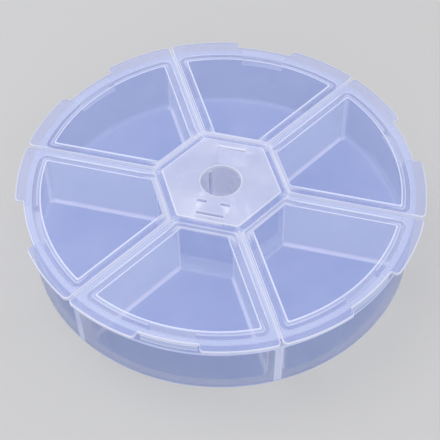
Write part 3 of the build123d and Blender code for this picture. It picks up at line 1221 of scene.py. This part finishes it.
def noise_node(tree, place, scale, detail):
    """Noise on the piece's own coordinates."""
    node = tree.nodes.new("ShaderNodeTexNoise")
    node.inputs["Scale"].default_value = scale
    node.inputs["Detail"].default_value = detail
    tree.links.new(place.outputs["Object"], node.inputs["Vector"])
    return node.outputs["Fac"]


def wandering(tree, value, noise, amount):
    """A value moved up and down by centred noise: value plus the amount times noise less a half."""
    centred = math_node(tree, "SUBTRACT", noise, 0.5)
    drift = math_node(tree, "MULTIPLY", centred, amount)
    return math_node(tree, "ADD", value, drift)


def milk_and_light_group():
    """Colour, opacity and painted glow of the plastic from its level of milkiness and painted light and
    shade, with faint clouds.
    """
    group, start, end = group_nodes("milky plastic")
    for stage in STAGES:
        add_socket(group, "INPUT", "NodeSocketColor", f"{stage} Colour")
    for name, value in (("Thin Alpha", 0.3), ("Wall Alpha", 0.4), ("Edge Alpha", 0.7), ("Clouds", 0.35)):
        add_socket(group, "INPUT", "NodeSocketFloat", name, value)
    add_socket(group, "OUTPUT", "NodeSocketColor", "Colour")
    add_socket(group, "OUTPUT", "NodeSocketFloat", "Alpha")
    add_socket(group, "OUTPUT", "NodeSocketColor", "Glow")
    given = start.outputs
    milk_and_painted_light = group.nodes.new("ShaderNodeAttribute")
    milk_and_painted_light.attribute_name = "milk_and_painted_light"
    place = group.nodes.new("ShaderNodeTexCoord")
    clouds = noise_node(group, place, CLOUD_SCALE, 3.0)
    level = wandering(group, milk_and_painted_light.outputs["Fac"], clouds, given["Clouds"])
    to_thin = ramp_node(group, level, DEEP, PANEL)
    to_wall = ramp_node(group, level, PANEL, FLANGE)
    to_edge = ramp_node(group, level, FLANGE, EDGE)
    to_glow = ramp_node(group, level, GLOW_START, GLOW)
    colour = mix_node(group, "RGBA", to_thin, given["Deep Colour"], given["Thin Colour"])
    colour = mix_node(group, "RGBA", to_wall, colour, given["Wall Colour"])
    colour = mix_node(group, "RGBA", to_edge, colour, given["Edge Colour"])
    alpha = mix_node(group, "FLOAT", to_wall, given["Thin Alpha"], given["Wall Alpha"])
    alpha = mix_node(group, "FLOAT", to_edge, alpha, given["Edge Alpha"])
    glow = mix_node(group, "RGBA", to_glow, (0.0, 0.0, 0.0, 1.0), given["Glow Colour"])
    for name, value in (("Colour", colour), ("Alpha", alpha), ("Glow", glow)):
        group.links.new(value, end.inputs[name])
    return group


def skin_group():
    """Surface of moulded plastic: a fine grain for its bump, and roughness that wanders with handling."""
    group, start, end = group_nodes("moulded skin")
    add_socket(group, "INPUT", "NodeSocketFloat", "Smoothness", 0.3)
    add_socket(group, "INPUT", "NodeSocketFloat", "Wander", 0.1)
    add_socket(group, "OUTPUT", "NodeSocketFloat", "Roughness")
    add_socket(group, "OUTPUT", "NodeSocketFloat", "Height")
    place = group.nodes.new("ShaderNodeTexCoord")
    grain = noise_node(group, place, GRAIN_SCALE, 2.0)
    ripple = noise_node(group, place, RIPPLE_SCALE, 2.0)
    fine = math_node(group, "MULTIPLY", grain, GRAIN_SHARE)
    group.links.new(math_node(group, "ADD", fine, ripple), end.inputs["Height"])
    roughness = wandering(group, start.outputs["Smoothness"], ripple, start.outputs["Wander"])
    group.links.new(roughness, end.inputs["Roughness"])
    return group


def srgb(red, green, blue):
    """A colour as it looks on a screen, from 0 to 255, in the linear values that a shader takes."""
    shares = np.array([red, green, blue]) / 255
    linear = np.where(shares <= 0.04045, shares / 12.92, ((shares + 0.055) / 1.055) ** 2.4)
    return (*linear.tolist(), 1.0)


def milky_plastic(name, groups, colours, alphas, roughness):
    """Material of one moulding: milky colour and opacity with painted highlights, glow and shade, moulded
    skin, soft gloss.
    """
    material = bpy.data.materials.new(name)
    material.use_nodes = True
    tree = material.node_tree
    shader = tree.nodes["Principled BSDF"]
    milky = tree.nodes.new("ShaderNodeGroup")
    milky.node_tree = groups["milky"]
    skin = tree.nodes.new("ShaderNodeGroup")
    skin.node_tree = groups["skin"]
    for stage, colour in zip(STAGES, colours):
        milky.inputs[f"{stage} Colour"].default_value = srgb(*colour)
    for socket, alpha in zip(("Thin Alpha", "Wall Alpha", "Edge Alpha"), alphas):
        milky.inputs[socket].default_value = alpha
    skin.inputs["Smoothness"].default_value = roughness
    ray = tree.nodes.new("ShaderNodeLightPath")
    on_its_way = math_node(tree, "MAXIMUM", ray.outputs["Is Shadow Ray"], ray.outputs["Is Diffuse Ray"])
    blocked = math_node(tree, "MULTIPLY", on_its_way, PASSED_ON)
    opacity = math_node(tree, "SUBTRACT", 1.0, blocked)
    seen = math_node(tree, "MULTIPLY", milky.outputs["Alpha"], opacity)
    bump = tree.nodes.new("ShaderNodeBump")
    bump.inputs["Strength"].default_value = BUMP_STRENGTH
    bump.inputs["Distance"].default_value = BUMP_DEPTH * MM
    tree.links.new(skin.outputs["Height"], bump.inputs["Height"])
    tree.links.new(milky.outputs["Colour"], shader.inputs["Base Color"])
    # The glow paints bright lines, corners and glints as emission.
    tree.links.new(milky.outputs["Glow"], shader.inputs["Emission Color"])
    tree.links.new(seen, shader.inputs["Alpha"])
    tree.links.new(skin.outputs["Roughness"], shader.inputs["Roughness"])
    tree.links.new(bump.outputs["Normal"], shader.inputs["Normal"])
    shader.inputs["Emission Strength"].default_value = GLOW_STRENGTH
    shader.inputs["IOR"].default_value = REFRACTION
    return material


def plain_material(name, colour, roughness):
    """Plain matt material for the floor."""
    material = bpy.data.materials.new(name)
    material.use_nodes = True
    shader = material.node_tree.nodes["Principled BSDF"]
    shader.inputs["Base Color"].default_value = colour
    shader.inputs["Roughness"].default_value = roughness
    shader.inputs["Specular IOR Level"].default_value = 0.1
    return material


def make_floor(material):
    """Plain round floor, wide enough to fill the view."""
    angles = np.arange(0, 360, 5.0)
    shell = Shell()
    row = shell.add(at_height(polar(GROUND_RADIUS, angles), GROUND_HEIGHT), 0.0)
    shell.fan(row, (0.0, 0.0, GROUND_HEIGHT), 0.0)
    floor = shell.make("floor", material)
    floor.modifiers.clear()


def lamp(name, place, size, level):
    """Square soft lamp that looks at the box, with its place and size in metres.

    Its power gives a surface that faces it that share of full light: pi squared times the
    distance squared times the level.
    """
    data = bpy.data.lights.new(name, "AREA")
    data.size = size
    data.energy = level * math.pi**2 * Vector(place).length_squared
    light = bpy.data.objects.new(name, data)
    light.location = place
    light.rotation_euler = Vector(place).to_track_quat("Z", "Y").to_euler()
    bpy.context.scene.collection.objects.link(light)


def light_the_box():
    """Soft studio light: a pale world, a large lamp above and behind, weaker ones right and in front."""
    world = bpy.data.worlds.new("studio")
    world.use_nodes = True
    background = world.node_tree.nodes["Background"]
    background.inputs["Color"].default_value = (1.0, 1.0, 1.0, 1.0)
    background.inputs["Strength"].default_value = WORLD_LEVEL
    bpy.context.scene.world = world
    lamp("lamp above", (-0.25, 0.35, 0.75), size=0.5, level=0.38)
    lamp("lamp right", (0.7, -0.2, 0.5), size=0.4, level=0.12)
    lamp("lamp in front", (-0.2, -0.8, 0.45), size=0.5, level=0.22)


def place_camera():
    """Camera at the photograph's angle, with its small roll."""
    position = Vector(CAMERA_PLACE) * MM
    target = Vector(CAMERA_TARGET) * MM
    roll = math.radians(CAMERA_ROLL)
    data = bpy.data.cameras.new("camera")
    data.lens = CAMERA_LENS
    data.sensor_width = 36.0
    camera = bpy.data.objects.new("camera", data)
    look = (target - position).to_track_quat("-Z", "Y").to_matrix().to_4x4()
    camera.matrix_world = Matrix.Translation(position) @ look @ Matrix.Rotation(roll, 4, "Z")
    bpy.context.scene.collection.objects.link(camera)
    bpy.context.scene.camera = camera


def build_box():
    """Every piece of the box, riding on its body and standing for its node."""
    # The milky group also paints highlights, glow and deep shade on the plastic.
    groups = {"milky": milk_and_light_group(), "skin": skin_group()}
    tray_plastic = milky_plastic("tray plastic", groups, TRAY_COLOURS, TRAY_ALPHAS, TRAY_ROUGHNESS)
    lid_plastic = milky_plastic("lid plastic", groups, LID_COLOURS, LID_ALPHAS, LID_ROUGHNESS)
    tray = tray_shell(tray_plastic)
    hub = hub_cap(lid_plastic)
    for piece, node, slot in ((tray, "tray", "tray_plastic"), (hub, "hub_plate", "lid_plastic")):
        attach(piece, "tray")
        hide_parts(node)
    for number in range(LIDS):
        body = f"lid_{number + 1}"
        lid = lid_plate(number, lid_plastic)
        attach(lid, body)
        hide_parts(body)
        strip = hinge_strip(number, lid_plastic)
        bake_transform(strip)
        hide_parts(f"hinge_web_{number + 1}")


build_box()
make_floor(plain_material("pale floor", GROUND_GREY, GROUND_ROUGHNESS))
light_the_box()
place_camera()
scene = bpy.context.scene
scene.view_settings.view_transform = "Standard"
scene.cycles.transparent_max_bounces = 48
